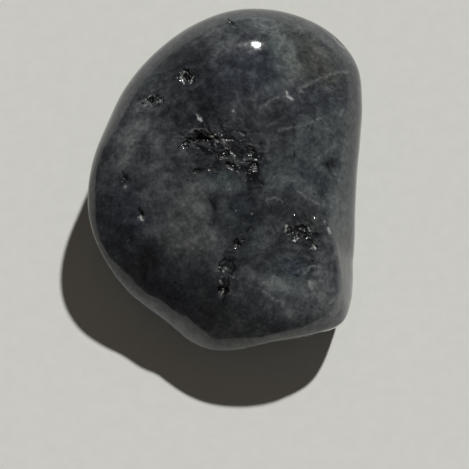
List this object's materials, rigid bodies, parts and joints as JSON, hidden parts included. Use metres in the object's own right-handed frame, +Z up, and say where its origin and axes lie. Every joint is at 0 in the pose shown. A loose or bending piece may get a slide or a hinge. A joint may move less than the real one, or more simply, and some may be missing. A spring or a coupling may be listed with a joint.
{
  "type": "larvikite tumbled stone",
  "caption": "Small tumbled and polished larvikite stone, a flattish dark grey pebble with a domed top, rounded edges, small pits and a flat worn patch to rest on.",
  "frame": {"origin": "middle of the bounding box in plan, at the height of the flat worn patch that the stone rests on", "axes": "+Z up, +Y along the stone's long side towards its thick end, +X towards its straighter side"},
  "size_m": [0.016, 0.0202, 0.0084],
  "materials": {
    "stone": "polished, mottled dark grey with paler clouds, dark specks and small unpolished pits"
  },
  "bodies": {
    "root": {"larvikite_stone": "stone"}
  },
  "joints": []
}
